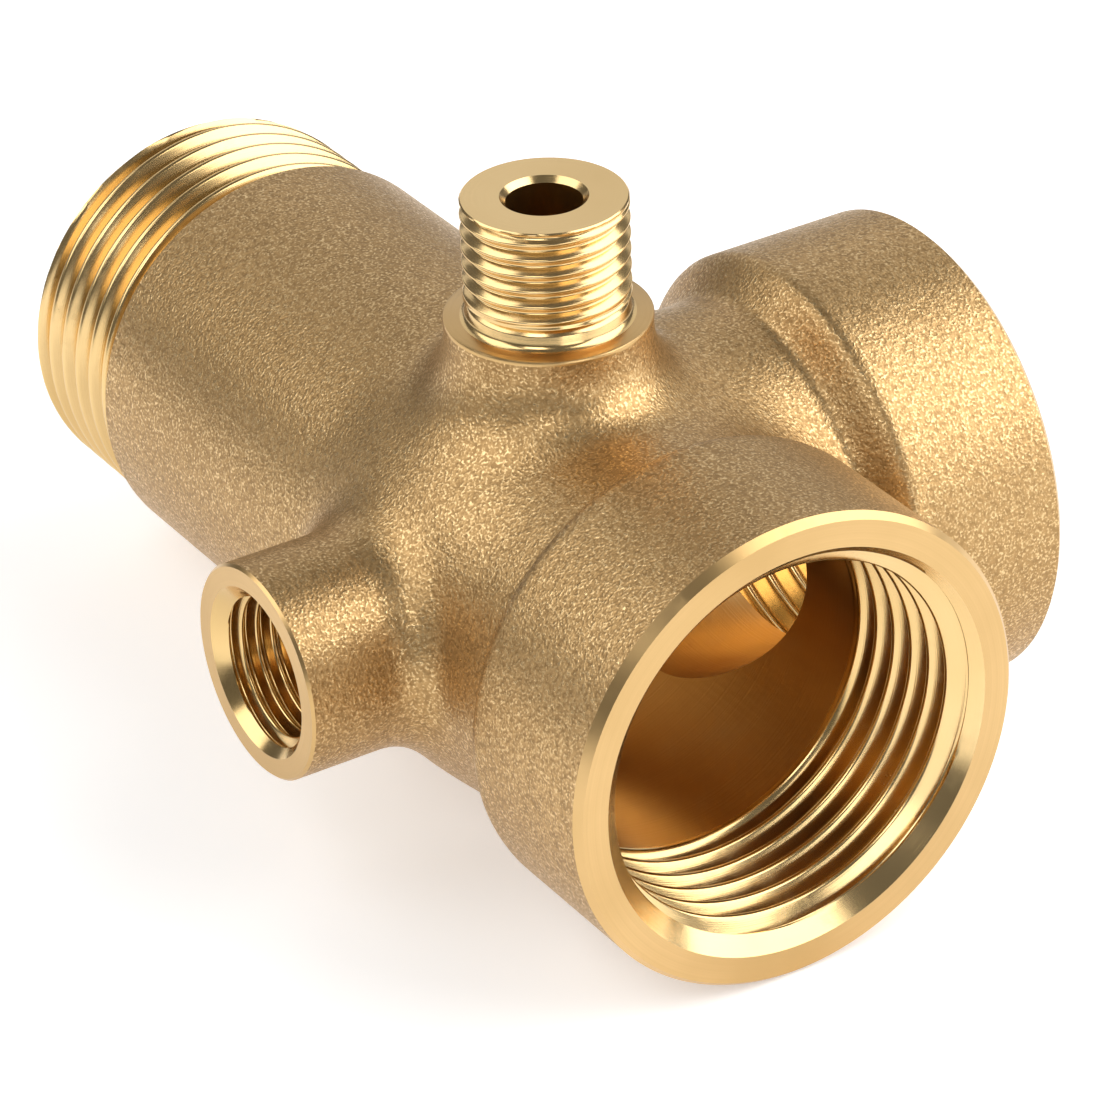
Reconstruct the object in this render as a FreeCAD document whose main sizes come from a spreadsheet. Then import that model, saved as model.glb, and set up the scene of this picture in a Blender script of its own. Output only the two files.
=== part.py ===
import FreeCAD, Part
import os
import re
import Sketcher

# Five-port cast brass pump fitting, in millimetres.
#
# The origin is the point where the axes of all five ports cross. +X points out of the female
# outlet, -X out of the male inlet, +Y out of the female branch, -Y out of the gauge boss and +Z
# out of the pressure-switch stub. The real fitting is one casting, so each sub-part here is one
# zone of it: the cast skin's zones and the zones that are turned or threaded. They meet face to
# face.
#
# Every port is turned about its own X axis, with X = 0 at the crossing and X growing outwards,
# and its Placement then swings it to its own direction.

V = FreeCAD.Vector

DIMENSIONS = {
    # G 1 pipe thread, and the wall left outside the internal one
    "pipe_major": 33.249,
    "pipe_minor": 30.291,
    "pipe_pitch": 2.309,
    "pipe_liner_rad": 17.1,
    # G 1/4 pipe thread
    "small_major": 13.157,
    "small_minor": 11.445,
    "small_pitch": 1.337,
    "small_liner_rad": 7.0,
    "flank_angle": 27.5,
    # how far a thread groove's outline runs on past the crests, and a drill past its wall
    "groove_overrun": 0.2,
    "drill_overrun": 1.0,
    # run: barrel, male inlet, crossing zone
    "barrel_rad": 17.25,
    "inlet_face": 56.6,
    "inlet_shoulder": 42.9,
    "crossing_left": 19.0,
    "crossing_right": 17.0,
    "inlet_bore_rad": 12.5,
    "deep_bore_rad": 15.5,
    "inlet_chamfer": 0.5,
    # female sockets
    "socket_rad": 19.7,
    "outlet_face": 33.8,
    "outlet_shoulder": 19.4,
    "outlet_tap_start": 18.0,
    "outlet_thread_end": 19.2,
    "branch_face": 35.1,
    "branch_shoulder": 21.5,
    "branch_tap_start": 20.4,
    "branch_thread_end": 21.6,
    "neck_rad": 16.8,
    "neck_end": 18.5,
    "cross_bore_rad": 12.5,
    "rim_chamfer": 0.4,
    "shoulder_round": 1.2,
    # gauge boss
    "gauge_rad": 8.8,
    "gauge_face": 27.55,
    "gauge_split": 21.5,
    "gauge_thread_end": 16.4,
    "gauge_fillet": 1.5,
    "gauge_rim_chamfer": 0.2,
    # pressure-switch stub, collar and boss
    "boss_rad": 8.15,
    "boss_top": 22.5,
    "boss_fillet": 3.5,
    "collar_rad": 8.2,
    "collar_top": 22.9,
    "collar_chamfer": 0.15,
    "stub_top": 32.95,
    "stub_thread_start": 24.0,
    "stub_relief_rad": 5.7,
    "stub_chamfer": 0.15,
    "stub_hole_rad": 3.0,
    "stub_hole_chamfer": 0.5,
}

doc = FreeCAD.newDocument("cross_fitting")
sheet = doc.addObject("Spreadsheet::Sheet", "dims")
for row, (alias, value) in enumerate(DIMENSIONS.items(), start=1):
    sheet.set(f"A{row}", alias)
    sheet.set(f"B{row}", str(value))
    sheet.setAlias(f"B{row}", alias)
doc.recompute()


def cell(expression):
    """The expression with every alias in it written as a cell of the sheet."""

    def named(match):
        word = match.group()
        return f"dims.{word}" if word in DIMENSIONS else word

    return re.sub("[a-z_]+", named, expression)


def measure(expression):
    """The expression's value now, used to draw a sketch close to its final size."""
    return float(sheet.evalExpression(cell(expression)))


# ---- Helpers: bodies, sketches and features ----

# Turns the local X axis to each port's direction
OUTLET = FreeCAD.Rotation(V(0, 0, 1), 0)
BRANCH = FreeCAD.Rotation(V(0, 0, 1), 90)
INLET = FreeCAD.Rotation(V(0, 0, 1), 180)
GAUGE = FreeCAD.Rotation(V(0, 0, 1), -90)
SWITCH = FreeCAD.Rotation(V(0, 1, 0), -90)


def new_body(label, turn=OUTLET):
    body = doc.addObject("PartDesign::Body", label)
    body.Label = label
    body.Placement = FreeCAD.Placement(V(0, 0, 0), turn)
    return body


def new_sketch(body, name, role):
    """An empty sketch on one of the body's own origin planes."""
    sketch = body.newObject("Sketcher::SketchObject", name)
    plane = next(item for item in body.Origin.OriginFeatures if item.Role == role)
    sketch.AttachmentSupport = [(plane, "")]
    sketch.MapMode = "FlatFace"
    return sketch


def outline_sketch(body, name, corners):
    """A closed outline of straight edges. Each corner is an (along axis, radius) pair of expressions."""
    sketch = new_sketch(body, name, "XZ_Plane")
    points = [V(measure(along), measure(radius), 0) for along, radius in corners]
    for start, end in zip(points, points[1:] + points[:1]):
        sketch.addGeometry(Part.LineSegment(start, end), False)
    for index in range(len(corners)):
        after = (index + 1) % len(corners)
        sketch.addConstraint(Sketcher.Constraint("Coincident", index, 2, after, 1))
    for index, (along, radius) in enumerate(corners):
        for kind, expression in (("DistanceX", along), ("DistanceY", radius)):
            value = measure(expression)
            number = sketch.addConstraint(Sketcher.Constraint(kind, -1, 1, index, 1, value))
            sketch.setExpression(f"Constraints[{number}]", cell(expression))
    return sketch


def turned_body(label, turn, corners):
    """A body turned about its X axis from one outline."""
    body = new_body(label, turn)
    sketch = outline_sketch(body, label + "_outline", corners)
    revolution = body.newObject("PartDesign::Revolution", label + "_turned")
    revolution.Profile = sketch
    revolution.ReferenceAxis = (sketch, ["H_Axis"])
    revolution.Angle = 360
    doc.recompute()
    return body


def cut_thread(body, name, corners, pitch, length):
    """Winds a groove outline along the body's X axis, from one pitch beyond the mouth, and cuts it.

    It is wound over the thread's length, the pitch it starts with and three quarters of a pitch more."""
    solid = body.Tip.Shape.Volume
    groove = outline_sketch(body, name + "_groove", corners)
    helix = body.newObject("PartDesign::SubtractiveHelix", name)
    helix.Profile = groove
    helix.ReferenceAxis = (groove, ["H_Axis"])
    helix.Mode = "pitch-height-angle"
    helix.Reversed = True
    helix.setExpression("Pitch", cell(pitch))
    helix.setExpression("Height", cell(f"{length} + {pitch} * 1.75"))
    doc.recompute()
    print(f"{body.Label}: thread removes {solid - helix.Shape.Volume:.1f} mm3")


def groove_corners(face, pitch, major, minor, internal):
    """A 55-degree thread groove with a flat root as wide as its crests, one pitch beyond the face.

    It runs on past the crests by a little, so that it cuts them cleanly."""
    flank = "tan(flank_angle * 1deg)"
    flat = f"({pitch} - ({major} - {minor}) * {flank}) / 2"
    root_half = f"({flat}) / 2"
    mouth_half = f"({pitch} / 2 - ({flat}) / 2 + groove_overrun * {flank})"
    middle = f"{face} + {pitch}"
    if internal:
        mouth = f"{minor} / 2 - groove_overrun"
        root = f"{major} / 2"
    else:
        mouth = f"{major} / 2 + groove_overrun"
        root = f"{minor} / 2"
    return [
        (f"{middle} - {mouth_half}", mouth),
        (f"{middle} + {mouth_half}", mouth),
        (f"{middle} + {root_half}", root),
        (f"{middle} - {root_half}", root),
    ]


def circle_sketch(body, name, role, radius, start=None):
    """A circle on an origin plane, or on a plane shifted along its axis by start."""
    sketch = new_sketch(body, name + "_circle", role)
    if start:
        sketch.setExpression("AttachmentOffset.Base.z", cell(start))
    sketch.addGeometry(Part.Circle(V(0, 0, 0), V(0, 0, 1), measure(radius)), False)
    sketch.addConstraint(Sketcher.Constraint("Coincident", 0, 3, -1, 1))
    number = sketch.addConstraint(Sketcher.Constraint("Radius", 0, measure(radius)))
    sketch.setExpression(f"Constraints[{number}]", cell(radius))
    return sketch


def push(body, kind, name, sketch, length, reverse, back_length):
    """A Pad or Pocket made from a sketch, on one side of it or on both."""
    feature = body.newObject(f"PartDesign::{kind}", name)
    feature.Profile = sketch
    feature.Reversed = reverse
    feature.setExpression("Length", cell(length))
    if back_length:
        feature.SideType = "Two sides"
        feature.setExpression("Length2", cell(back_length))
    doc.recompute()
    return feature


def round_pad(body, name, role, radius, length, reverse, back_length=None):
    """A round bar pushed out of an origin plane."""
    sketch = circle_sketch(body, name, role, radius)
    return push(body, "Pad", name, sketch, length, reverse, back_length)


def drill(body, name, role, radius, length, reverse, back_length=None, start=None):
    """A round hole that runs on a little past its stated length."""
    solid = body.Tip.Shape.Volume
    sketch = circle_sketch(body, name, role, radius, start)
    back = f"{back_length} + drill_overrun" if back_length else None
    pocket = push(body, "Pocket", name, sketch, f"{length} + drill_overrun", reverse, back)
    print(f"{body.Label}: {name} removes {solid - pocket.Shape.Volume:.1f} mm3")
    return pocket


def seam_edges(shape, radius):
    """Names of the edges where a round boss of this radius meets another curved wall."""
    names = []
    for number, edge in enumerate(shape.Edges, start=1):
        walls = shape.ancestorsOfType(edge, Part.Face)
        curved = [wall for wall in walls if not isinstance(wall.Surface, Part.Plane)]
        boss = [
            wall
            for wall in curved
            if isinstance(wall.Surface, Part.Cylinder) and abs(wall.Surface.Radius - radius) < 1e-6
        ]
        if len(curved) == 2 and len(boss) == 1:
            names.append(f"Edge{number}")
    return names


def ring_edges(shape, radius, along):
    """Names of the full round edges of one radius at one place along the X axis."""
    names = []
    for number, edge in enumerate(shape.Edges, start=1):
        curve = edge.Curve
        if isinstance(curve, Part.Circle) and abs(curve.Radius - radius) < 1e-6:
            if abs(curve.Center.x - along) < 1e-6:
                names.append(f"Edge{number}")
    return names


def round_edges(body, name, base, edges, radius):
    fillet = body.newObject("PartDesign::Fillet", name)
    fillet.Base = (base, edges)
    fillet.setExpression("Radius", cell(radius))
    doc.recompute()
    return fillet


# ---- Run: male inlet and cast barrel ----


def inlet_thread():
    """The male end: G 1 thread on a spigot with the inlet bore through it."""
    body = turned_body(
        "inlet_thread",
        INLET,
        [
            ("inlet_shoulder", "inlet_bore_rad"),
            ("inlet_face - inlet_chamfer", "inlet_bore_rad"),
            ("inlet_face", "inlet_bore_rad + inlet_chamfer"),
            ("inlet_face", "pipe_major / 2 - inlet_chamfer"),
            ("inlet_face - inlet_chamfer", "pipe_major / 2"),
            ("inlet_shoulder", "pipe_major / 2"),
        ],
    )
    corners = groove_corners("inlet_face", "pipe_pitch", "pipe_major", "pipe_minor", internal=False)
    cut_thread(body, "inlet_helix", corners, "pipe_pitch", "inlet_face - inlet_shoulder")
    return body


def run_barrel():
    """The long cast tube between the inlet thread and the crossing."""
    return turned_body(
        "run_barrel",
        INLET,
        [
            ("crossing_left", "inlet_bore_rad"),
            ("inlet_shoulder", "inlet_bore_rad"),
            ("inlet_shoulder", "barrel_rad"),
            ("crossing_left", "barrel_rad"),
        ],
    )


# ---- Crossing ----


def crossing_body():
    """The cast heart: run and branch neck blended, gauge and switch bosses, and the drilled ways."""
    body = new_body("crossing_body")
    round_pad(body, "run", "YZ_Plane", "barrel_rad", "crossing_right", False, "crossing_left")
    round_pad(body, "neck", "XZ_Plane", "neck_rad", "neck_end", True)
    boss = round_pad(body, "gauge_root", "XZ_Plane", "gauge_rad", "gauge_split", False)
    edges = seam_edges(boss.Shape, DIMENSIONS["gauge_rad"])
    round_edges(body, "gauge_blend", boss, edges, "gauge_fillet")
    boss = round_pad(body, "switch_boss", "XY_Plane", "boss_rad", "boss_top", False)
    edges = seam_edges(boss.Shape, DIMENSIONS["boss_rad"])
    round_edges(body, "boss_blend", boss, edges, "boss_fillet")
    drill(body, "deep_bore", "YZ_Plane", "deep_bore_rad", "crossing_right", True, "crossing_left")
    drill(body, "cross_bore", "XZ_Plane", "cross_bore_rad", "neck_end", False)
    drill(body, "gauge_way", "XZ_Plane", "small_minor / 2", "gauge_split", True)
    seat_depth = "gauge_split - gauge_thread_end"
    drill(body, "gauge_seat", "XZ_Plane", "small_liner_rad", seat_depth, True, start="gauge_thread_end")
    drill(body, "switch_way", "XY_Plane", "stub_hole_rad", "boss_top", True)
    return body


# ---- Female sockets: cast wall with a flared shoulder, and the threaded liner zone ----


def socket_wall(label, turn, start, start_rad, bore_rad, tap_start, thread_end, shoulder, face):
    """A cast socket: shoulder cone, straight wall and the machined rim.

    The tapping bore is plain from tap_start to thread_end, where the tap ran out."""
    body = turned_body(
        label,
        turn,
        [
            (start, bore_rad),
            (tap_start, bore_rad),
            (tap_start, "pipe_minor / 2"),
            (thread_end, "pipe_minor / 2"),
            (thread_end, "pipe_liner_rad"),
            (face, "pipe_liner_rad"),
            (face, "socket_rad - rim_chamfer"),
            (f"{face} - rim_chamfer", "socket_rad"),
            (shoulder, "socket_rad"),
            (start, start_rad),
        ],
    )
    turned = body.Tip
    edges = ring_edges(turned.Shape, DIMENSIONS["socket_rad"], DIMENSIONS[shoulder])
    round_edges(body, label + "_round", turned, edges, "shoulder_round")
    return body


def socket_thread(label, turn, thread_end, face):
    """The zone of a socket that holds its G 1 internal thread, with the lead-in cone at its mouth."""
    body = turned_body(
        label,
        turn,
        [
            (thread_end, "pipe_minor / 2"),
            (f"{face} - pipe_liner_rad + pipe_minor / 2", "pipe_minor / 2"),
            (face, "pipe_liner_rad"),
            (thread_end, "pipe_liner_rad"),
        ],
    )
    corners = groove_corners(face, "pipe_pitch", "pipe_major", "pipe_minor", internal=True)
    cut_thread(body, label + "_helix", corners, "pipe_pitch", f"{face} - {thread_end}")
    return body


def outlet_socket():
    return socket_wall(
        "outlet_socket",
        OUTLET,
        start="crossing_right",
        start_rad="barrel_rad",
        bore_rad="deep_bore_rad",
        tap_start="outlet_tap_start",
        thread_end="outlet_thread_end",
        shoulder="outlet_shoulder",
        face="outlet_face",
    )


def branch_socket():
    return socket_wall(
        "branch_socket",
        BRANCH,
        start="neck_end",
        start_rad="neck_rad",
        bore_rad="cross_bore_rad",
        tap_start="branch_tap_start",
        thread_end="branch_thread_end",
        shoulder="branch_shoulder",
        face="branch_face",
    )


# ---- Gauge boss ----


def gauge_boss():
    """The cast boss beyond its blend, around the threaded zone."""
    return turned_body(
        "gauge_boss",
        GAUGE,
        [
            ("gauge_split", "small_liner_rad"),
            ("gauge_face", "small_liner_rad"),
            ("gauge_face", "gauge_rad - gauge_rim_chamfer"),
            ("gauge_face - gauge_rim_chamfer", "gauge_rad"),
            ("gauge_split", "gauge_rad"),
        ],
    )


def gauge_thread():
    """The zone of the gauge boss that holds its G 1/4 internal thread."""
    body = turned_body(
        "gauge_thread",
        GAUGE,
        [
            ("gauge_thread_end", "small_minor / 2"),
            ("gauge_face - small_liner_rad + small_minor / 2", "small_minor / 2"),
            ("gauge_face", "small_liner_rad"),
            ("gauge_thread_end", "small_liner_rad"),
        ],
    )
    corners = groove_corners("gauge_face", "small_pitch", "small_major", "small_minor", internal=True)
    cut_thread(body, "gauge_helix", corners, "small_pitch", "gauge_face - gauge_thread_end")
    return body


# ---- Pressure-switch stub ----


def switch_collar():
    """The turned collar between the cast boss and the stub."""
    return turned_body(
        "switch_collar",
        SWITCH,
        [
            ("boss_top", "stub_hole_rad"),
            ("collar_top", "stub_hole_rad"),
            ("collar_top", "collar_rad - collar_chamfer"),
            ("collar_top - collar_chamfer", "collar_rad"),
            ("boss_top", "collar_rad"),
        ],
    )


def switch_thread():
    """The hollow stub with its G 1/4 external thread and the runout relief above the collar."""
    relief_slope = "(small_major / 2 - stub_relief_rad)"
    body = turned_body(
        "switch_thread",
        SWITCH,
        [
            ("collar_top", "stub_hole_rad"),
            ("stub_top - stub_hole_chamfer", "stub_hole_rad"),
            ("stub_top", "stub_hole_rad + stub_hole_chamfer"),
            ("stub_top", "small_major / 2 - stub_chamfer"),
            ("stub_top - stub_chamfer", "small_major / 2"),
            ("stub_thread_start", "small_major / 2"),
            (f"stub_thread_start - {relief_slope} / 2", "stub_relief_rad"),
            ("collar_top", "stub_relief_rad"),
        ],
    )
    corners = groove_corners("stub_top", "small_pitch", "small_major", "small_minor", internal=False)
    cut_thread(body, "switch_helix", corners, "small_pitch", "stub_top - stub_thread_start")
    return body


# ---- Build, check and write ----


def main():
    bodies = [
        inlet_thread(),
        run_barrel(),
        crossing_body(),
        outlet_socket(),
        socket_thread("outlet_thread", OUTLET, "outlet_thread_end", "outlet_face"),
        branch_socket(),
        socket_thread("branch_thread", BRANCH, "branch_thread_end", "branch_face"),
        gauge_boss(),
        gauge_thread(),
        switch_collar(),
        switch_thread(),
    ]
    doc.recompute()
    failed = [item.Label for item in doc.Objects if {"Invalid", "Error"} & set(item.State)]
    if failed:
        raise RuntimeError(f"these objects failed: {failed}")
    for body in bodies:
        if body.Shape.isNull() or not body.Shape.isValid() or len(body.Shape.Solids) != 1:
            raise RuntimeError(f"{body.Label} isn't one valid solid")
    os.makedirs("parts", exist_ok=True)
    for body in bodies:
        body.Shape.exportStep(f"parts/{body.Label}.step")
        print(f"{body.Label}: {body.Shape.Volume:.0f} mm3")


main()
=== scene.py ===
# %% [markdown]
# # Five-port cast brass pump fitting
# One sand-cast brass body joins five ports: a male and a female G 1 end on a straight run, a female
# G 1 branch, a tapped G 1/4 boss for a pressure gauge and a G 1/4 stub for a pressure switch. The
# casting keeps its grainy skin. Only the threads, rims, bores and the collar are cut on a lathe, so
# the lesson is about putting a rough skin and bright cut metal side by side.

import math

import bmesh
import bpy
import numpy as np
from mathutils import Matrix, Vector


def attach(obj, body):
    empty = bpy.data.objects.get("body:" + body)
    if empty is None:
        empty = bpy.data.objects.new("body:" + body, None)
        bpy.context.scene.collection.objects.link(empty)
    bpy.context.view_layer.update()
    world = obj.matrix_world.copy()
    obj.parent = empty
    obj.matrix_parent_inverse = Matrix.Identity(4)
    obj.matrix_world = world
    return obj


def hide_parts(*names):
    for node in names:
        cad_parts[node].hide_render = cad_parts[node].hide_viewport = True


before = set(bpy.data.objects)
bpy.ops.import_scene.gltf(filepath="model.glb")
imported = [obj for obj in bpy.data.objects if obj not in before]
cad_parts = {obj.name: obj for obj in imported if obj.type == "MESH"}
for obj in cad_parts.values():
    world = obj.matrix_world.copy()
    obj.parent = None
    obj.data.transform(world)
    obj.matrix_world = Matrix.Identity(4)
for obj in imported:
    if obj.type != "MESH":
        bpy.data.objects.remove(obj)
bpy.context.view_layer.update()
MM = 0.001
TURN = 2 * math.pi
print("nodes:", sorted(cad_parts))

# %% [markdown]
# ## Ports and helpers
# Every port is made lying along its own X axis, the way it is held in a lathe, and is then swung to
# its direction. Lengths are in millimetres until a piece is finished.

# %% Directions of the ports
PORTS = {
    "outlet": Matrix.Identity(3),
    "branch": Matrix.Rotation(TURN / 4, 3, "Z"),
    "inlet": Matrix.Rotation(TURN / 2, 3, "Z"),
    "gauge": Matrix.Rotation(-TURN / 4, 3, "Z"),
    "switch": Matrix.Rotation(-TURN / 4, 3, "Y"),
}
SHARP_ANGLE = math.radians(28)
STITCH = 1e-4
print("ports:", list(PORTS))

# %% Helpers that make and finish turned shapes


def spun(bm, outline, steps, closed=True):
    """Turns an outline of (along, radius) pairs about the X axis and closes it."""
    ring = [bm.verts.new((along, 0, radius)) for along, radius in outline]
    pairs = zip(ring, ring[1:] + ring[:1] if closed else ring[1:])
    edges = [bm.edges.new(pair) for pair in pairs]
    bmesh.ops.spin(
        bm,
        geom=ring + edges,
        cent=(0, 0, 0),
        axis=(1, 0, 0),
        dvec=(0, 0, 0),
        angle=TURN,
        steps=steps,
        use_merge=True,
        use_duplicate=False,
    )
    bmesh.ops.remove_doubles(bm, verts=bm.verts, dist=STITCH)
    bmesh.ops.recalc_face_normals(bm, faces=bm.faces)


def swing(bm, port):
    bmesh.ops.rotate(bm, verts=bm.verts, cent=(0, 0, 0), matrix=PORTS[port])


def mesh_object(bm, name):
    mesh = bpy.data.meshes.new(name)
    bm.to_mesh(mesh)
    bm.free()
    piece = bpy.data.objects.new(name, mesh)
    bpy.context.scene.collection.objects.link(piece)
    return piece


def open_edges(bm):
    return sum(1 for edge in bm.edges if len(edge.link_faces) != 2)


def shade(bm):
    """Smooth faces, with the edges that turn sharply left crisp."""
    for face in bm.faces:
        face.smooth = True
    for edge in bm.edges:
        edge.smooth = len(edge.link_faces) == 2 and edge.calc_face_angle(0) < SHARP_ANGLE


def finish_piece(bm, name, replaced, materials):
    """Scales a millimetre mesh to metres and adds it to the object."""
    shade(bm)
    bmesh.ops.scale(bm, verts=bm.verts, vec=(MM, MM, MM))
    print(f"{name}: {len(bm.faces)} faces, {open_edges(bm)} open edges")
    piece = mesh_object(bm, name)
    for material in materials:
        piece.data.materials.append(material)
    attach(piece, "root")
    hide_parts(*replaced)
    return piece


# %% [markdown]
# ## Shared effects
# Three effects belong to more than one finish or can be reused as they are. Each is a shader node
# group with named sockets, built once and placed in a material with that material's own values. The
# helpers below add one node at a time and set or link its inputs, which keeps the groups readable.

# %% Shader helpers


def add(tree, kind, inputs=None, **settings):
    """A node with its settings, and its inputs set to values or linked to sockets."""
    made = tree.nodes.new(kind)
    for key, value in settings.items():
        setattr(made, key, value)
    for key, value in (inputs or {}).items():
        if isinstance(value, bpy.types.NodeSocket):
            tree.links.new(value, made.inputs[key])
        else:
            made.inputs[key].default_value = value
    return made


def math_node(tree, operation, *values):
    return add(tree, "ShaderNodeMath", dict(enumerate(values)), operation=operation).outputs[0]


def ramp(tree, factor, low, high, start=0.0, end=1.0):
    """Maps a value from one range to another, without going past its ends."""
    inputs = {"Value": factor, "From Min": low, "From Max": high, "To Min": start, "To Max": end}
    return add(tree, "ShaderNodeMapRange", inputs, clamp=True).outputs[0]


def noise(tree, vector, scale, detail=2.0, roughness=0.5):
    inputs = {"Vector": vector, "Scale": scale, "Detail": detail, "Roughness": roughness}
    return add(tree, "ShaderNodeTexNoise", inputs).outputs["Fac"]


def mixed(tree, factor, first, second):
    inputs = {0: factor, 6: first, 7: second}
    return add(tree, "ShaderNodeMix", inputs, data_type="RGBA", blend_type="MIX").outputs[2]


def new_group(name, inputs, outputs):
    tree = bpy.data.node_groups.new(name, "ShaderNodeTree")
    for label, kind, value in inputs:
        socket = tree.interface.new_socket(label, in_out="INPUT", socket_type=kind)
        if value is not None:
            socket.default_value = value
    for label in outputs:
        tree.interface.new_socket(label, in_out="OUTPUT", socket_type="NodeSocketFloat")
    return tree, tree.nodes.new("NodeGroupInput").outputs, tree.nodes.new("NodeGroupOutput")


def placed(tree, group, **inputs):
    """Puts a group in a material and returns its outputs."""
    made = tree.nodes.new("ShaderNodeGroup")
    made.node_tree = group
    for key, value in inputs.items():
        if isinstance(value, bpy.types.NodeSocket):
            tree.links.new(value, made.inputs[key])
        else:
            made.inputs[key].default_value = value
    return made.outputs


# %% [markdown]
# ### Cast grain
# Moulding sand leaves its print on a casting: lumps under half a millimetre wide, finer grit that
# sparkles, and a slow swell below both. A displaced mesh would need millions of faces, so the grain
# is noise that feeds a Bump node. The same noise paints shade into the hollows and a painted glint
# onto the tops of the grit, which keeps colour and relief together.

# %% The cast grain group
LUMPS_PER_M = 2300.0
GRIT_PER_M = 4600.0
SWELLS_PER_M = 220.0
LUMP_SHARE = 0.6
GRIT_SHARE = 0.45
SWELL_SHARE = 0.5


def cast_grain_group():
    tree, given, out = new_group(
        "cast_grain",
        [("Vector", "NodeSocketVector", None), ("Scale", "NodeSocketFloat", 1.0)],
        ["Height", "Glint specks", "Pit shade"],
    )
    inputs = {0: given["Vector"], "Scale": given["Scale"]}
    spot = add(tree, "ShaderNodeVectorMath", inputs, operation="SCALE").outputs[0]
    lumps = noise(tree, spot, LUMPS_PER_M, 1.0)
    grit = noise(tree, spot, GRIT_PER_M, 1.0)
    swell = noise(tree, spot, SWELLS_PER_M, 2.0)
    height = math_node(tree, "MULTIPLY", lumps, LUMP_SHARE)
    height = math_node(tree, "MULTIPLY_ADD", grit, GRIT_SHARE, height)
    height = math_node(tree, "MULTIPLY_ADD", swell, SWELL_SHARE, height)
    tree.links.new(height, out.inputs["Height"])
    # Specks mask: the tops of the grit, which get a brighter colour as a painted glint and a lower
    # roughness.
    tree.links.new(ramp(tree, grit, 0.52, 0.72), out.inputs["Glint specks"])
    # Pits mask: the hollows of the lumps, which get a darker colour as painted shade.
    tree.links.new(ramp(tree, lumps, 0.60, 0.32), out.inputs["Pit shade"])
    return tree


CAST_GRAIN = cast_grain_group()
print("group:", CAST_GRAIN.name)

# %% [markdown]
# ### Turning marks
# A lathe tool leaves fine rings round the axis of the port. A point's place in them depends only on
# how far along and how far out it is, so one-dimensional noise of that sum marks walls, cones and
# flat faces alike.

# %% The turning marks group


def turning_marks_group():
    tree, given, out = new_group(
        "turning_marks",
        [("Vector", "NodeSocketVector", None), ("Lines", "NodeSocketFloat", 9000.0)],
        ["Height"],
    )
    parts = add(tree, "ShaderNodeSeparateXYZ", {0: given["Vector"]}).outputs
    flat = add(tree, "ShaderNodeCombineXYZ", {0: 0.0, 1: parts[1], 2: parts[2]}).outputs[0]
    radius = add(tree, "ShaderNodeVectorMath", {0: flat}, operation="LENGTH").outputs["Value"]
    path = math_node(tree, "ADD", parts[0], radius)
    place = math_node(tree, "MULTIPLY", path, given["Lines"])
    inputs = {"W": place, "Scale": 1.0, "Detail": 3.0}
    lines = add(tree, "ShaderNodeTexNoise", inputs, noise_dimensions="1D")
    tree.links.new(lines.outputs["Fac"], out.inputs["Height"])
    return tree


TURNING_MARKS = turning_marks_group()
print("group:", TURNING_MARKS.name)

# %% [markdown]
# ### Tone
# Brass tans unevenly where it has been touched and rinsed. Slow noise drifts the colour between two
# tones, and a finer, blotchier noise marks the stains that dull the polish.

# %% The tone group


def tone_group():
    tree, given, out = new_group(
        "tone_drift",
        [("Vector", "NodeSocketVector", None), ("Scale", "NodeSocketFloat", 60.0)],
        ["Drift", "Stain"],
    )
    drift = noise(tree, given["Vector"], given["Scale"], 3.0)
    finer = math_node(tree, "MULTIPLY", given["Scale"], 4.0)
    stain = noise(tree, given["Vector"], finer, 4.0, 0.65)
    tree.links.new(ramp(tree, drift, 0.32, 0.68), out.inputs["Drift"])
    tree.links.new(ramp(tree, stain, 0.55, 0.72), out.inputs["Stain"])
    return tree


TONE_DRIFT = tone_group()
print("group:", TONE_DRIFT.name)

# %% [markdown]
# ## Finish of the cast skin
# Blasted brass is rough enough to blur its reflections, and its grain breaks every highlight into
# sparkle. Brass is a metal all through, so the colour is the tint of its reflections. The hollows are
# painted a little browner as shade, and the tops of the grit are painted brighter as a glint; they
# are also smoother.

# %% The cast skin material
SKIN_TONES = [(0.445, 0.278, 0.116, 1), (0.56, 0.356, 0.155, 1)]
# Painted shade: the darker colour given to the hollows of the grain.
PAINTED_PIT_SHADE = (0.37, 0.228, 0.094, 1)
# Painted glint: the brighter colour given to the tops of the grit.
PAINTED_GLINT_TONE = (0.80, 0.57, 0.29, 1)
SKIN_ROUGHNESS = 0.45
SPECK_ROUGHNESS = 0.26
GRAIN_STRENGTH = 0.8
GRAIN_DEPTH = 0.00009


def new_material(name):
    material = bpy.data.materials.new(name)
    material.use_nodes = True
    tree = material.node_tree
    tree.nodes.clear()
    shader = tree.nodes.new("ShaderNodeBsdfPrincipled")
    shader.inputs["Metallic"].default_value = 1.0
    output = tree.nodes.new("ShaderNodeOutputMaterial")
    tree.links.new(shader.outputs[0], output.inputs[0])
    return material, tree, shader


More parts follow.
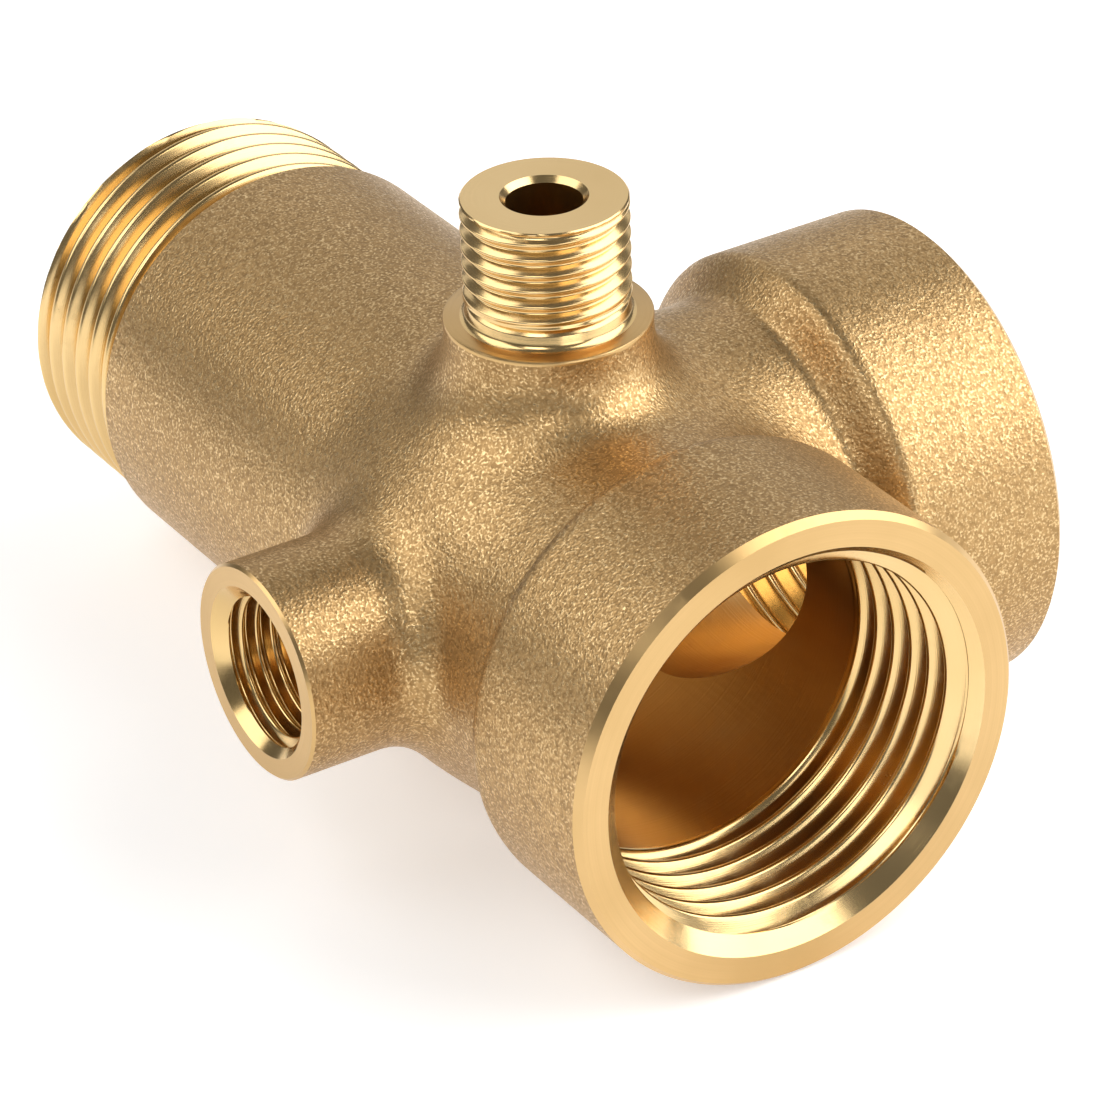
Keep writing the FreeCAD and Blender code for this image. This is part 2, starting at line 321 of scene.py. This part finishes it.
def cast_skin():
    material, tree, shader = new_material("cast_skin_brass")
    spot = tree.nodes.new("ShaderNodeTexCoord").outputs["Object"]
    grain = placed(tree, CAST_GRAIN, Vector=spot, Scale=1.0)
    tone = placed(tree, TONE_DRIFT, Vector=spot, Scale=45.0)
    colour = mixed(tree, tone["Drift"], *SKIN_TONES)
    # Painted shade: the hollows of the grain are darkened in colour.
    colour = mixed(tree, grain["Pit shade"], colour, PAINTED_PIT_SHADE)
    # Painted glint: the tops of the grit are brightened in colour; the roughness below makes them
    # smoother too.
    colour = mixed(tree, grain["Glint specks"], colour, PAINTED_GLINT_TONE)
    tree.links.new(colour, shader.inputs["Base Color"])
    rough = ramp(tree, grain["Glint specks"], 0.0, 1.0, SKIN_ROUGHNESS, SPECK_ROUGHNESS)
    tree.links.new(rough, shader.inputs["Roughness"])
    inputs = {"Height": grain["Height"], "Strength": GRAIN_STRENGTH, "Distance": GRAIN_DEPTH}
    bump = add(tree, "ShaderNodeBump", inputs)
    tree.links.new(bump.outputs[0], shader.inputs["Normal"])
    return material


CAST = cast_skin()
print("material:", CAST.name)

# %% [markdown]
# ## Finish of the cut brass
# Cut brass is far smoother than the skin and streaked round the port's axis by the tool. Rims and
# bores are faced with a coarser feed. The threads are the brightest, because a sharp die burnishes
# their flanks. Every port gets its own copy of the finish, turned to its axis by a Mapping node.

# %% The cut brass materials
RIM_FINISH = {
    "light": (0.70, 0.465, 0.21),
    "dark": (0.58, 0.375, 0.155),
    "roughness": 0.28,
    "mark_depth": 0.000016,
    "lines": 5200.0,
}
THREAD_FINISH = {
    "light": (0.85, 0.61, 0.30),
    "dark": (0.74, 0.51, 0.22),
    "roughness": 0.19,
    "mark_depth": 0.000006,
    "lines": 9000.0,
}
STREAK_SHARE = 0.35
STAIN_ROUGHNESS = 0.10


def cut_brass(name, port, light, dark, roughness, mark_depth, lines):
    """Brass cut round one port's axis."""
    material, tree, shader = new_material(name)
    spot = tree.nodes.new("ShaderNodeTexCoord").outputs["Object"]
    turn = PORTS[port].transposed().to_euler()
    along = add(tree, "ShaderNodeMapping", {"Vector": spot, "Rotation": turn}).outputs[0]
    marks = placed(tree, TURNING_MARKS, Vector=along, Lines=lines)
    tone = placed(tree, TONE_DRIFT, Vector=spot, Scale=70.0)
    colour = mixed(tree, tone["Drift"], (*dark, 1), (*light, 1))
    streak = ramp(tree, marks["Height"], 0.35, 0.65, 0.0, STREAK_SHARE)
    colour = mixed(tree, streak, colour, (*dark, 1))
    tree.links.new(colour, shader.inputs["Base Color"])
    spread = math_node(tree, "MULTIPLY", tone["Stain"], STAIN_ROUGHNESS)
    tree.links.new(math_node(tree, "ADD", spread, roughness), shader.inputs["Roughness"])
    inputs = {"Height": marks["Height"], "Strength": 0.6, "Distance": mark_depth}
    bump = add(tree, "ShaderNodeBump", inputs)
    tree.links.new(bump.outputs[0], shader.inputs["Normal"])
    return material


RIM = {port: cut_brass(f"turned_{port}", port, **RIM_FINISH) for port in PORTS}
THREAD = {port: cut_brass(f"thread_{port}", port, **THREAD_FINISH) for port in PORTS}
print("materials:", len(bpy.data.materials))

# %% [markdown]
# ## The cast body
# The mould gives one flowing surface: tubes that run into each other through soft fillets. Bevelled
# booleans would break where the fillets meet, so the surface is described as distances to the five
# tubes, joined by a smooth minimum whose width sets each fillet. The outside of the outlet socket
# sits a little off the axis of its bore, as a cored casting often does.

# %% Measures of the casting
BARREL_RAD = 17.25
SOCKET_RAD = 19.7
NECK_RAD = 16.8
GAUGE_RAD = 8.8
BOSS_RAD = 8.15
INLET_SHOULDER = 42.9
OUTLET_FACE = 33.8
BRANCH_FACE = 35.1
GAUGE_FACE = 27.55
BOSS_TOP = 22.5
OUTLET_SWELL = (16.4, 19.6)
BRANCH_SWELL = (18.2, 21.9)
SOCKET_SHIFT = Vector((0.0, -0.15, 0.2))
CROTCH_BLEND = 5.0
GAUGE_BLEND = 3.2
SWITCH_BLEND = 4.6
print("run length without the inlet thread:", INLET_SHOULDER + OUTLET_FACE)

# %% Distance to the cast surface


def smooth_min(first, second, width):
    reach = np.maximum(width - np.abs(first - second), 0) / width
    return np.minimum(first, second) - reach * reach * width / 4


def ramp_up(along, start, end):
    part = np.clip((along - start) / (end - start), 0, 1)
    return part * part * (3 - 2 * part)


def skin_distance(points):
    """Distance outside the cast surface, in millimetres."""
    x, y, z = points.T
    reach = np.linalg.norm(points, axis=1)
    swell = ramp_up(x, *OUTLET_SWELL)
    run = np.hypot(y - SOCKET_SHIFT.y * swell, z - SOCKET_SHIFT.z * swell)
    run = run - (BARREL_RAD + (SOCKET_RAD - BARREL_RAD) * swell)
    neck = np.hypot(x, z) - (NECK_RAD + (SOCKET_RAD - NECK_RAD) * ramp_up(y, *BRANCH_SWELL))
    branch = np.where(y > 0, neck, reach - NECK_RAD)
    gauge = np.where(y < 0, np.hypot(x, z), reach) - GAUGE_RAD
    boss = np.where(z > 0, np.hypot(x, y), reach) - BOSS_RAD
    body = smooth_min(run, branch, CROTCH_BLEND)
    body = smooth_min(body, gauge, GAUGE_BLEND)
    return smooth_min(body, boss, SWITCH_BLEND)


def skin_slopes(points, step=0.01):
    """How the distance grows along each axis, by central differences."""
    slopes = []
    for axis in np.eye(3) * step:
        slopes.append((skin_distance(points + axis) - skin_distance(points - axis)) / (2 * step))
    return np.stack(slopes, axis=1)


print("fillet widths:", CROTCH_BLEND, GAUGE_BLEND, SWITCH_BLEND)

# %% [markdown]
# ### From round bars to the skin
# Plain round bars roughly fill the casting. A voxel remesh makes one even mesh around them, and
# every vertex then slides down the distance's slope onto the surface. A block that faces all five
# ports at once trims the ends flat.

# %% Bars, remesh, slide and face
VOXEL = 0.5
BAR_SPARE = 1.5
OUTLET_BAR_START = 18.0
BRANCH_BAR_START = 20.0
LEAST_SLOPE = 0.05
BLOCK_SPARE = 5.0


def bars():
    """Round bars that roughly fill the casting and run past it at every end."""
    bar_list = [
        ("outlet", BARREL_RAD, -INLET_SHOULDER - BAR_SPARE, OUTLET_FACE),
        ("outlet", SOCKET_RAD, OUTLET_BAR_START, OUTLET_FACE + BAR_SPARE),
        ("branch", NECK_RAD, 0.0, BRANCH_FACE),
        ("branch", SOCKET_RAD, BRANCH_BAR_START, BRANCH_FACE + BAR_SPARE),
        ("gauge", GAUGE_RAD, 0.0, GAUGE_FACE + BAR_SPARE),
        ("switch", BOSS_RAD, 0.0, BOSS_TOP + BAR_SPARE),
    ]
    bm = bmesh.new()
    lie_down = Matrix.Rotation(TURN / 4, 4, "Y")
    for port, radius, start, end in bar_list:
        middle = Matrix.Translation(((start + end) / 2, 0, 0))
        bmesh.ops.create_cone(
            bm,
            cap_ends=True,
            segments=96,
            radius1=radius,
            radius2=radius,
            depth=end - start,
            matrix=PORTS[port].to_4x4() @ middle @ lie_down,
        )
    return bm


def evaluated(piece):
    """The mesh of an object with its modifiers applied, as a bmesh. The object is removed."""
    graph = bpy.context.evaluated_depsgraph_get()
    bm = bmesh.new()
    bm.from_object(piece, graph)
    mesh = piece.data
    bpy.data.objects.remove(piece)
    bpy.data.meshes.remove(mesh)
    return bm


def remeshed(bm, voxel):
    """One closed mesh around everything in bm."""
    rough = mesh_object(bm, "rough_bars")
    modifier = rough.modifiers.new("voxels", "REMESH")
    modifier.mode = "VOXEL"
    modifier.voxel_size = voxel
    return evaluated(rough)


def slide_to_skin(bm, rounds=8):
    bm.verts.ensure_lookup_table()
    points = np.array([vert.co for vert in bm.verts])
    for _ in range(rounds):
        slope = skin_slopes(points)
        size = np.maximum((slope * slope).sum(axis=1), LEAST_SLOPE)
        points -= slope * (skin_distance(points) / size)[:, None]
    for vert, point in zip(bm.verts, points):
        vert.co = point


def boolean(bm, tool, operation):
    """Cuts bm with a tool object, which is used up."""
    piece = mesh_object(bm, "blank")
    modifier = piece.modifiers.new("cut", "BOOLEAN")
    modifier.operation = operation
    modifier.solver = "MANIFOLD"
    modifier.object = tool
    result = evaluated(piece)
    mesh = tool.data
    bpy.data.objects.remove(tool)
    bpy.data.meshes.remove(mesh)
    print(f"{operation.lower()}: {len(result.faces)} faces, {open_edges(result)} open edges")
    return result


def facing_block():
    """The block whose sides are the flat ends of the five ports."""
    low = Vector((-INLET_SHOULDER, -GAUGE_FACE, -SOCKET_RAD - BLOCK_SPARE))
    high = Vector((OUTLET_FACE, BRANCH_FACE, BOSS_TOP))
    bm = bmesh.new()
    bmesh.ops.create_cube(bm, size=1)
    bmesh.ops.scale(bm, verts=bm.verts, vec=high - low)
    bmesh.ops.translate(bm, verts=bm.verts, vec=(high + low) / 2)
    return mesh_object(bm, "facing_block")


casting = remeshed(bars(), VOXEL)
print("remeshed:", len(casting.faces), "faces")
slide_to_skin(casting)
casting = boolean(casting, facing_block(), "INTERSECT")

# %% [markdown]
# ## Drilling and facing
# The ways through the casting are bored after it is cast: a wide bore from the outlet, the inlet's
# bore, the cross bore into the branch and two small ways. Each is a spun cutter taken away with a
# boolean, which keeps the saddle-shaped edge between the bores crisp. The manifold solver is used
# because all the shells are closed, and it gives the same mesh every time. A thin ring cutter breaks
# the outer corner of each rim.

# %% Measures of the bores
BORE_RAD = 15.35
BORE_END = -19.0
INLET_BORE = 12.5
CROSS_BORE = 12.5
LINER_RAD = 17.1
SMALL_LINER_RAD = 7.0
GAUGE_WAY = 5.7
SWITCH_WAY = 3.0
THREAD_END = {"outlet": 19.2, "branch": 20.4, "gauge": 16.4}
SIDE_DRILL_START = 5.0
DRILL_SPARE = 1.0
RIM_CHAMFER = 0.4
GAUGE_CHAMFER = 0.22
SLIP = 0.0071
print("bores:", 2 * BORE_RAD, 2 * INLET_BORE, 2 * CROSS_BORE, 2 * GAUGE_WAY, 2 * SWITCH_WAY)

# %% Cutters


def cutter(outlines, steps=144):
    """A closed cutter of several shells. Each outline is (port, list of (along, radius), closed).

    Each port's shell is turned a little differently, so that no two bores meet edge on edge."""
    whole = bmesh.new()
    for port, outline, closed in outlines:
        shell = bmesh.new()
        spun(shell, outline, steps, closed)
        slip = Matrix.Rotation(SLIP * (1 + list(PORTS).index(port)), 3, "X")
        bmesh.ops.rotate(shell, verts=shell.verts, cent=(0, 0, 0), matrix=slip)
        swing(shell, port)
        scratch = bpy.data.meshes.new("shell")
        shell.to_mesh(scratch)
        shell.free()
        whole.from_mesh(scratch)
        bpy.data.meshes.remove(scratch)
    return mesh_object(whole, "cutter")


def corner_ring(port, face, radius, size, spare=1.0):
    """The ring that takes a 45-degree corner off a rim."""
    outline = [
        (face - size - spare, radius + spare),
        (face + spare, radius - size - spare),
        (face + spare, radius + spare),
    ]
    return (port, outline, True)


def drill(port, steps):
    """A drill's outline, closed on the axis at both ends."""
    return (port, [(steps[0][0], 0.0)] + steps + [(steps[-1][0], 0.0)], False)


def stepped_drill(port, way, liner, face):
    """A drill for a side port: a narrow way in, then the room for the threaded liner."""
    end = THREAD_END[port]
    steps = [(SIDE_DRILL_START, way), (end, way), (end, liner), (face + DRILL_SPARE, liner)]
    return drill(port, steps)


# %% Bore the run, the branch, the gauge boss and the switch boss
run_drill = drill(
    "outlet",
    [
        (-INLET_SHOULDER - 2 * DRILL_SPARE, INLET_BORE),
        (BORE_END, INLET_BORE),
        (BORE_END, BORE_RAD),
        (THREAD_END["outlet"], BORE_RAD),
        (THREAD_END["outlet"], LINER_RAD),
        (OUTLET_FACE + DRILL_SPARE, LINER_RAD),
    ],
)
outlet_corner = corner_ring("outlet", OUTLET_FACE, SOCKET_RAD, RIM_CHAMFER)
casting = boolean(casting, cutter([run_drill, outlet_corner]), "DIFFERENCE")

side_cutters = [
    stepped_drill("branch", CROSS_BORE, LINER_RAD, BRANCH_FACE),
    corner_ring("branch", BRANCH_FACE, SOCKET_RAD, RIM_CHAMFER),
    stepped_drill("gauge", GAUGE_WAY, SMALL_LINER_RAD, GAUGE_FACE),
    corner_ring("gauge", GAUGE_FACE, GAUGE_RAD, GAUGE_CHAMFER),
]
casting = boolean(casting, cutter(side_cutters), "DIFFERENCE")

switch_drill = drill("switch", [(SIDE_DRILL_START, SWITCH_WAY), (BOSS_TOP + 1, SWITCH_WAY)])
casting = boolean(casting, cutter([switch_drill], 64), "DIFFERENCE")

# %% [markdown]
# ### Which faces are skin
# The tool takes the skin off wherever it cuts. A face keeps the skin only if all its corners still
# lie on the cast surface. Any other face shows cut brass, streaked round the axis of its port.

# %% Paint and finish the casting
ON_SKIN = 0.03
SKIN, OUTLET_CUT, BRANCH_CUT, GAUGE_CUT, SWITCH_CUT = range(5)
SMALL_PORT_START = 12.0
SMALL_PORT_REACH = {"switch": 8.5, "gauge": 9.0}
CROSS_BORE_START = 10.0
BRANCH_SOCKET_START = 20.0


def cut_of(point):
    """The material index of the port whose tool cut a face."""
    x, y, z = point
    if z > SMALL_PORT_START and math.hypot(x, y) < SMALL_PORT_REACH["switch"]:
        return SWITCH_CUT
    if y < -SMALL_PORT_START and math.hypot(x, z) < SMALL_PORT_REACH["gauge"]:
        return GAUGE_CUT
    in_cross_bore = y > CROSS_BORE_START and math.hypot(x, z) < CROSS_BORE + 0.01
    return BRANCH_CUT if in_cross_bore or y > BRANCH_SOCKET_START else OUTLET_CUT


def paint_casting(bm):
    bm.verts.index_update()
    gaps = np.abs(skin_distance(np.array([vert.co for vert in bm.verts])))
    for face in bm.faces:
        on_skin = max(gaps[vert.index] for vert in face.verts) < ON_SKIN
        face.material_index = SKIN if on_skin else cut_of(face.calc_center_median())


paint_casting(casting)
finish_piece(
    casting,
    "cast_body",
    ["run_barrel", "crossing_body", "outlet_socket", "branch_socket", "gauge_boss"],
    [CAST, RIM["outlet"], RIM["branch"], RIM["gauge"], RIM["switch"]],
)

# %% [markdown]
# ## Threads
# A pipe thread is a 55-degree groove with rounded crests and roots, wound along the port. One pitch
# of its outline is spun once with a step along the axis, and copies of that turn are stitched end to
# end. The winding is then held between the thread's ends, where the groove fades out as the tool
# leaves the metal, so each end closes on a plain ring. From those rings the rest of the piece is
# drawn out ring by ring. The stub's thread is cut blunt: its roots are shallower than the standard.

# %% Sizes of the threads
FLANK = math.radians(27.5)
ROUNDING = 0.137329
PIPE = {"major": 33.249, "minor": 30.291, "pitch": 2.309, "steps": 168}
SMALL = {"major": 13.157, "minor": 11.445, "pitch": 1.337, "steps": 112}
STUB = {**SMALL, "minor": 11.9}
ARC_STEPS = 5
FLANK_STEPS = 4
print("thread depths:", [(size["major"] - size["minor"]) / 2 for size in (PIPE, SMALL, STUB)])

# %% One pitch, and the winding


def one_pitch(size):
    """(along, radius) over one pitch, from the middle of a root to the middle of the next."""
    pitch, root_rad, crest_rad = size["pitch"], size["minor"] / 2, size["major"] / 2
    curve = ROUNDING * pitch
    lean = TURN / 4 - FLANK
    angles = [lean * i / ARC_STEPS for i in range(ARC_STEPS + 1)]
    root = [(curve * math.sin(a), root_rad + curve * (1 - math.cos(a))) for a in angles]
    crest = [(pitch / 2 - along, crest_rad - (radius - root_rad)) for along, radius in reversed(root)]
    (x0, r0), (x1, r1) = root[-1], crest[0]
    flank = [
        (x0 + (x1 - x0) * i / FLANK_STEPS, r0 + (r1 - r0) * i / FLANK_STEPS)
        for i in range(1, FLANK_STEPS)
    ]
    half = root + flank + crest
    return half + [(pitch - along, radius) for along, radius in reversed(half[:-1])]


def one_turn(size, first):
    """A bmesh of one pitch of the wall, spun once with a step of one pitch along the axis."""
    bm = bmesh.new()
    line = [bm.verts.new((first + along, 0, radius)) for along, radius in one_pitch(size)]
    edges = [bm.edges.new(pair) for pair in zip(line, line[1:])]
    bmesh.ops.spin(
        bm,
        geom=line + edges,
        cent=(0, 0, 0),
        axis=(1, 0, 0),
        dvec=(size["pitch"] / size["steps"], 0, 0),
        angle=TURN,
        steps=size["steps"],
        use_merge=False,
        use_duplicate=False,
    )
    return bm


def wound(size, start, end, limit, fade):
    """A bmesh of the thread's wall from start to end, open at both ends.

    limit(along, radius) trims the radius by cones at the ends, and fade(along, radius) makes the
    groove shallower where the tool runs out."""
    pitch = size["pitch"]
    turns = math.ceil((end - start) / pitch) + 2
    bm = one_turn(size, start - pitch * 1.5)
    turn_geometry = bm.verts[:] + bm.edges[:] + bm.faces[:]
    for turn in range(1, turns):
        copied = bmesh.ops.duplicate(bm, geom=turn_geometry)["geom"]
        verts = [item for item in copied if isinstance(item, bmesh.types.BMVert)]
        bmesh.ops.translate(bm, verts=verts, vec=(pitch * turn, 0, 0))
    bmesh.ops.remove_doubles(bm, verts=bm.verts, dist=STITCH)
    for vert in bm.verts:
        radius = math.hypot(vert.co.y, vert.co.z)
        along = min(max(vert.co.x, start), end)
        wanted = limit(along, fade(along, radius))
        vert.co = (along, vert.co.y * wanted / radius, vert.co.z * wanted / radius)
    bmesh.ops.remove_doubles(bm, verts=bm.verts, dist=STITCH * 5)
    bmesh.ops.dissolve_degenerate(bm, edges=bm.edges, dist=STITCH)
    return bm


# %% Rings that close a thread
END_REACH = 0.01


def end_ring(bm, along):
    """The open edges of the ring at one end."""
    return [
        edge
        for edge in bm.edges
        if len(edge.link_faces) == 1
        and all(abs(vert.co.x - along) < END_REACH for vert in edge.verts)
    ]


def draw_out(bm, edges, outline):
    """Extrudes a ring through each (along, radius) of an outline and returns the last ring."""
    for along, wanted in outline:
        made = bmesh.ops.extrude_edge_only(bm, edges=edges)["geom"]
        edges = [item for item in made if isinstance(item, bmesh.types.BMEdge)]
        for vert in [item for item in made if isinstance(item, bmesh.types.BMVert)]:
            radius = math.hypot(vert.co.y, vert.co.z)
            vert.co = (along, vert.co.y * wanted / radius, vert.co.z * wanted / radius)
        edges = [edge for edge in edges if len(edge.link_faces) == 1]
    return edges


def close_up(bm, first, last):
    bmesh.ops.bridge_loops(bm, edges=first + last)
    bmesh.ops.recalc_face_normals(bm, faces=bm.faces)


def smooth_step(part):
    part = min(max(part, 0.0), 1.0)
    return part * part * (3 - 2 * part)


# %% [markdown]
# ### Female ports
# A tap cuts the groove into a plain bore and a countersink opens its mouth at 45 degrees. The liner
# is the sleeve of metal between the groove and the hole left for it in the casting.

# %% Cut the three female ports
PIPE_RUNOUT = 1.6
SMALL_RUNOUT = 0.9


def internal_thread(size, start, face, liner, runout):
    """A tapped liner: thread, lead-in cone out to the liner's radius, and a plain outside wall."""
    crest = size["minor"] / 2

    def fade(along, radius):
        return crest + (radius - crest) * smooth_step((along - start) / runout)

    def limit(along, radius):
        return max(radius, liner - (face - along))

    bm = wound(size, start, face, limit, fade)
    outer = draw_out(bm, end_ring(bm, start), [(start, liner)])
    close_up(bm, end_ring(bm, face), outer)
    return bm


for port, size, face, liner, runout in [
    ("outlet", PIPE, OUTLET_FACE, LINER_RAD, PIPE_RUNOUT),
    ("branch", PIPE, BRANCH_FACE, LINER_RAD, PIPE_RUNOUT),
    ("gauge", SMALL, GAUGE_FACE, SMALL_LINER_RAD, SMALL_RUNOUT),
]:
    bm = internal_thread(size, THREAD_END[port], face, liner, runout)
    swing(bm, port)
    finish_piece(bm, f"{port}_liner", [f"{port}_thread"], [THREAD[port]])

# %% [markdown]
# ### Male ports
# A die cuts the groove into a plain bar. The piece is drawn from the thread's end ring over the
# rim, down the bore and back up to the ring where the thread starts. Below its thread the stub has a
# plain neck with a small fillet at its foot.

# %% Helper for the male ports


def external_thread(size, start, end, end_rad, outline, lead, runout):
    """A threaded bar: outline leads from the end ring to the ring at the start."""
    crest = size["major"] / 2

    def fade(along, radius):
        share = smooth_step((along - start) / runout) * smooth_step((end - along) / lead)
        return crest + (radius - crest) * share

    def limit(along, radius):
        return min(radius, end_rad + (end - along))

    bm = wound(size, start, end, limit, fade)
    near = end_ring(bm, start)
    close_up(bm, draw_out(bm, end_ring(bm, end), outline), near)
    return bm


# %% Cut the inlet
INLET_FACE = 56.6
INLET_CHAMFER = 0.5
INLET_LEAD = 1.2
INLET_RUNOUT = 1.4
inlet_outline = [
    (INLET_FACE, INLET_BORE + INLET_CHAMFER),
    (INLET_FACE - INLET_CHAMFER, INLET_BORE),
    (INLET_SHOULDER, INLET_BORE),
]
inlet_end_rad = PIPE["major"] / 2 - INLET_CHAMFER
bm = external_thread(
    PIPE, INLET_SHOULDER, INLET_FACE, inlet_end_rad, inlet_outline, INLET_LEAD, INLET_RUNOUT
)
swing(bm, "inlet")
finish_piece(bm, "inlet_spigot", ["inlet_thread"], [THREAD["inlet"]])

# %% Cut the switch stub
STUB_TOP = 32.95
STUB_THREAD_START = 24.75
STUB_NECK_RAD = 6.35
STUB_HOLE_CHAMFER = 0.45
STUB_END_CHAMFER = 0.15
STUB_LEAD = 0.7
STUB_RUNOUT = 0.8
RELIEF = 0.45
COLLAR_TOP = 22.9
stub_outline = [
    (STUB_TOP, SWITCH_WAY + STUB_HOLE_CHAMFER),
    (STUB_TOP - STUB_HOLE_CHAMFER, SWITCH_WAY),
    (COLLAR_TOP, SWITCH_WAY),
    (COLLAR_TOP, STUB_NECK_RAD + 0.5),
    (COLLAR_TOP + 0.1, STUB_NECK_RAD + 0.28),
    (COLLAR_TOP + 0.25, STUB_NECK_RAD + 0.12),
    (COLLAR_TOP + 0.5, STUB_NECK_RAD),
    (STUB_THREAD_START - 0.75, STUB_NECK_RAD),
    (STUB_THREAD_START - 0.65, STUB_NECK_RAD - 0.05),
    (STUB_THREAD_START - 0.25, STUB_NECK_RAD - RELIEF),
    (STUB_THREAD_START - 0.1, STUB_NECK_RAD - RELIEF),
]
stub_end_rad = STUB["major"] / 2 - STUB_END_CHAMFER
bm = external_thread(
    STUB, STUB_THREAD_START, STUB_TOP, stub_end_rad, stub_outline, STUB_LEAD, STUB_RUNOUT
)
swing(bm, "switch")
finish_piece(bm, "switch_stub", ["switch_thread"], [THREAD["switch"]])

# %% [markdown]
# ## Collar
# The top of the cast boss is faced flat round the stub, as the seat for a swivel nut's washer. The
# collar is that thin ring of bright metal, with a broken outer corner.

# %% Turn the collar
COLLAR_RAD = 8.2
COLLAR_CHAMFER = 0.15
collar_outline = [
    (BOSS_TOP, SWITCH_WAY),
    (COLLAR_TOP, SWITCH_WAY),
    (COLLAR_TOP, COLLAR_RAD - COLLAR_CHAMFER),
    (COLLAR_TOP - COLLAR_CHAMFER / 3, COLLAR_RAD - COLLAR_CHAMFER / 3),
    (COLLAR_TOP - COLLAR_CHAMFER, COLLAR_RAD),
    (BOSS_TOP, COLLAR_RAD),
]
bm = bmesh.new()
spun(bm, collar_outline, 128)
swing(bm, "switch")
finish_piece(bm, "collar_ring", ["switch_collar"], [RIM["switch"]])

# %% [markdown]
# ## Studio
# Polished brass shows whatever stands around it, so the lights are placed by what they draw. Two
# softboxes, the left one higher and smaller, leave a dark gap overhead that draws the dark stripes
# down the stub and across the threads. A wide card behind lights the faces that look up, and two
# small cards in front lift the sides that face the camera. The floor is plain and pale.

# %% The camera's view
AZIMUTH = math.radians(58.588)
ELEVATION = math.radians(30.465)
ROLL = math.radians(-2.06)
DISTANCE = 450.6
LENS = 186.33
SENSOR = 36.0
AIM = (-0.518, 1.362)

back = Vector(
    (
        math.sin(AZIMUTH) * math.cos(ELEVATION),
        -math.cos(AZIMUTH) * math.cos(ELEVATION),
        math.sin(ELEVATION),
    )
)
side = Vector((math.cos(AZIMUTH), math.sin(AZIMUTH), 0))
rise = back.cross(side)
up = Vector((0, 0, 1))
toward = Vector((back.x, back.y, 0)).normalized()

camera_data = bpy.data.cameras.new("camera")
camera_data.lens = LENS
camera_data.sensor_width = SENSOR
camera_data.clip_start = 0.01
camera = bpy.data.objects.new("camera", camera_data)
across = side * math.cos(ROLL) + rise * math.sin(ROLL)
upward = -side * math.sin(ROLL) + rise * math.cos(ROLL)
place = Matrix((across, upward, back)).transposed().to_4x4()
place.translation = (side * AIM[0] + rise * AIM[1] + back * DISTANCE) * MM
camera.matrix_world = place
bpy.context.scene.collection.objects.link(camera)
bpy.context.scene.camera = camera
bpy.context.scene.view_settings.view_transform = "Standard"
print("camera at", [round(part, 3) for part in place.translation])

# %% The floor
FLOOR_LEVEL = -SOCKET_RAD
FLOOR_REACH = 3000.0
FLOOR_TONE = (0.93, 0.93, 0.93, 1)
FLOOR_GLOW = 0.38

floor_mesh = bmesh.new()
bmesh.ops.create_grid(floor_mesh, x_segments=1, y_segments=1, size=FLOOR_REACH)
bmesh.ops.translate(floor_mesh, verts=floor_mesh.verts, vec=(0, 0, FLOOR_LEVEL))
bmesh.ops.scale(floor_mesh, verts=floor_mesh.verts, vec=(MM, MM, MM))
floor = mesh_object(floor_mesh, "floor")
floor_paint = bpy.data.materials.new("floor_paint")
floor_paint.use_nodes = True
floor_shader = floor_paint.node_tree.nodes["Principled BSDF"]
floor_shader.inputs["Base Color"].default_value = FLOOR_TONE
floor_shader.inputs["Roughness"].default_value = 0.9
floor_shader.inputs["Emission Color"].default_value = (1, 1, 1, 1)
floor_shader.inputs["Emission Strength"].default_value = FLOOR_GLOW
floor.data.materials.append(floor_paint)
print("floor at", FLOOR_LEVEL)

# %% The lights
LAMPS = [
    # name, direction, distance (m), width (m), height (m), power (W)
    ("right_box", side * 0.85 + up * 0.62 + toward * 0.05, 0.55, 0.62, 0.62, 3.6),
    ("left_box", -side * 0.74 + up * 0.68 + toward * 0.05, 0.55, 0.46, 0.46, 1.35),
    ("key_card", toward * 0.8 - side * 0.3 + up * 0.75, 0.9, 0.35, 0.35, 1.3),
    ("front_card", toward * 0.85 + up * 0.12 + side * 0.5, 0.9, 0.45, 0.3, 1.0),
    ("back_card", -toward * 1.0 + up * 0.6, 0.9, 1.3, 0.7, 2.0),
]
AIR_TONE = (1.0, 0.99, 0.97, 1)
AIR_STRENGTH = 0.14


def softbox(name, direction, distance, width, height, power):
    """An area light that faces the fitting from one direction."""
    lamp = bpy.data.lights.new(name, "AREA")
    lamp.shape = "RECTANGLE"
    lamp.size = width
    lamp.size_y = height
    lamp.energy = power
    holder = bpy.data.objects.new(name, lamp)
    way = direction.normalized()
    holder.location = way * distance
    holder.rotation_euler = way.to_track_quat("Z", "Y").to_euler()
    bpy.context.scene.collection.objects.link(holder)


for lamp_settings in LAMPS:
    softbox(*lamp_settings)

world = bpy.data.worlds.new("studio_air")
world.use_nodes = True
background = world.node_tree.nodes["Background"]
background.inputs["Color"].default_value = AIR_TONE
background.inputs["Strength"].default_value = AIR_STRENGTH
bpy.context.scene.world = world
print("lights:", len(bpy.data.lights))
